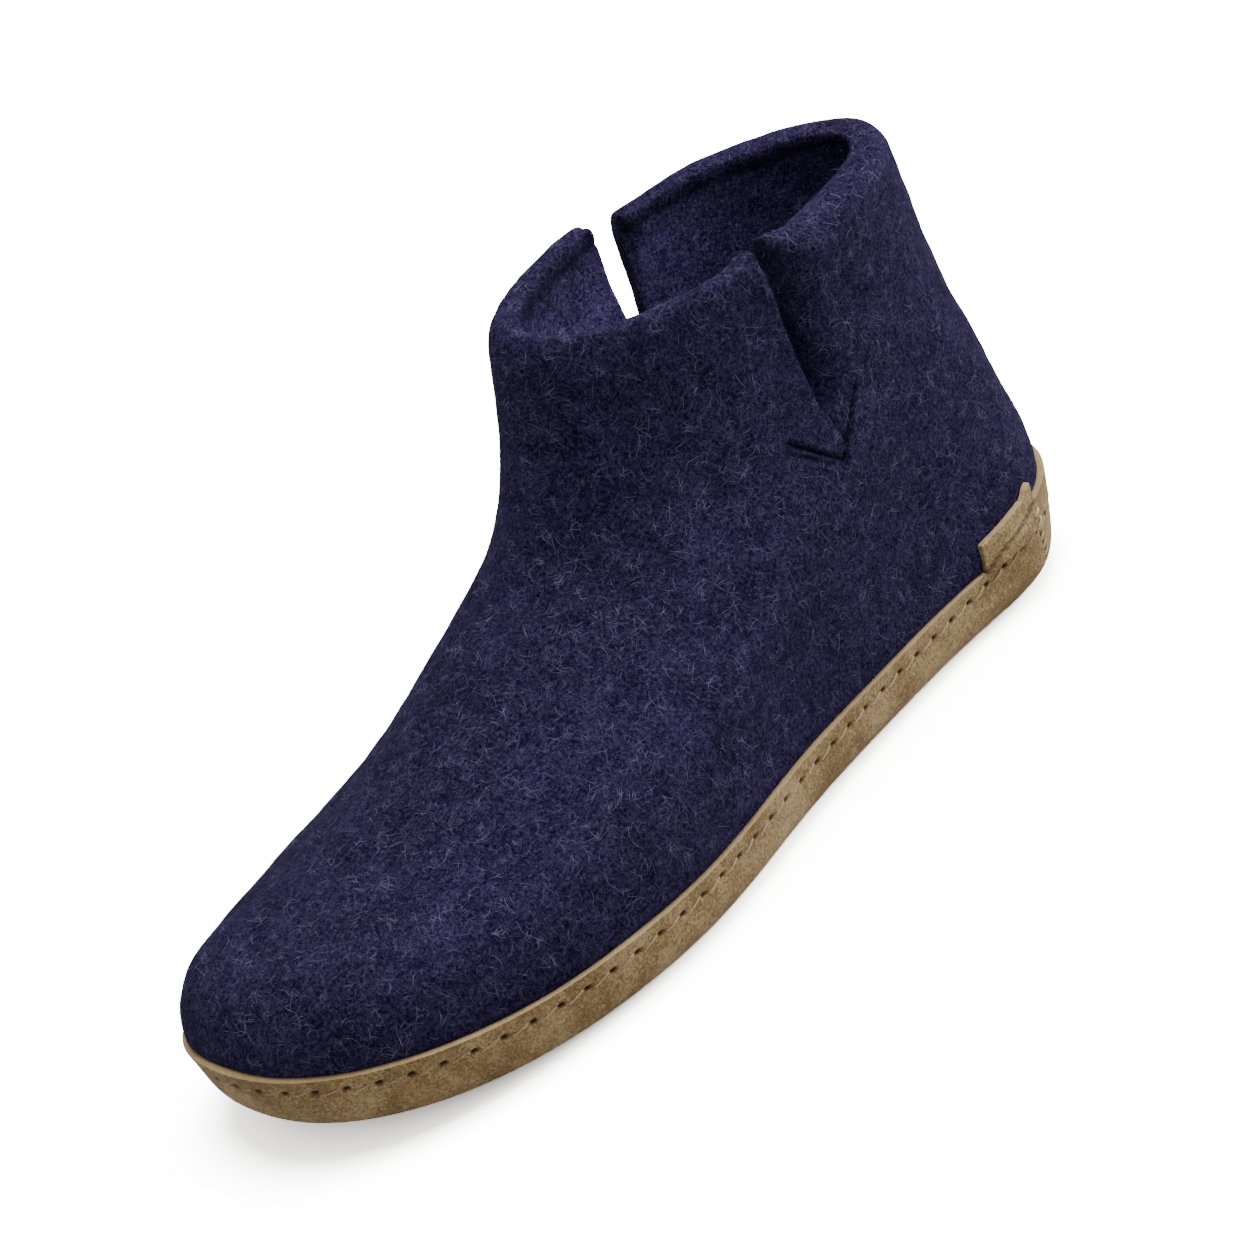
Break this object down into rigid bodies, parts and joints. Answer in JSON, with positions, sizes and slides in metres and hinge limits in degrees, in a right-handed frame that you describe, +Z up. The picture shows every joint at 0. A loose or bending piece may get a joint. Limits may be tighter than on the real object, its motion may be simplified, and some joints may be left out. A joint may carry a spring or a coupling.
{
  "type": "felt boot",
  "caption": "Low felt boot for the left foot: a felted-whole wool upper with side slits in the collar, a turned-up suede sole, a felt insole and a heel tab.",
  "frame": {"origin": "on the floor under the middle of the boot's box", "axes": "+Z up, toe towards -Y, heel towards +Y, outer side of the left foot towards +X"},
  "size_m": [0.108, 0.282, 0.1315],
  "materials": {
    "felt": "dense matt wet-felted wool with loose paler hairs",
    "footbed_felt": "flat matt needled wool felt",
    "suede": "napped tan suede, matt",
    "tab_suede": "napped tan suede, matt"
  },
  "bodies": {
    "root": {"felt_upper": "felt", "leather_sole": "suede", "felt_insole": "footbed_felt", "heel_tab": "tab_suede"}
  },
  "joints": []
}
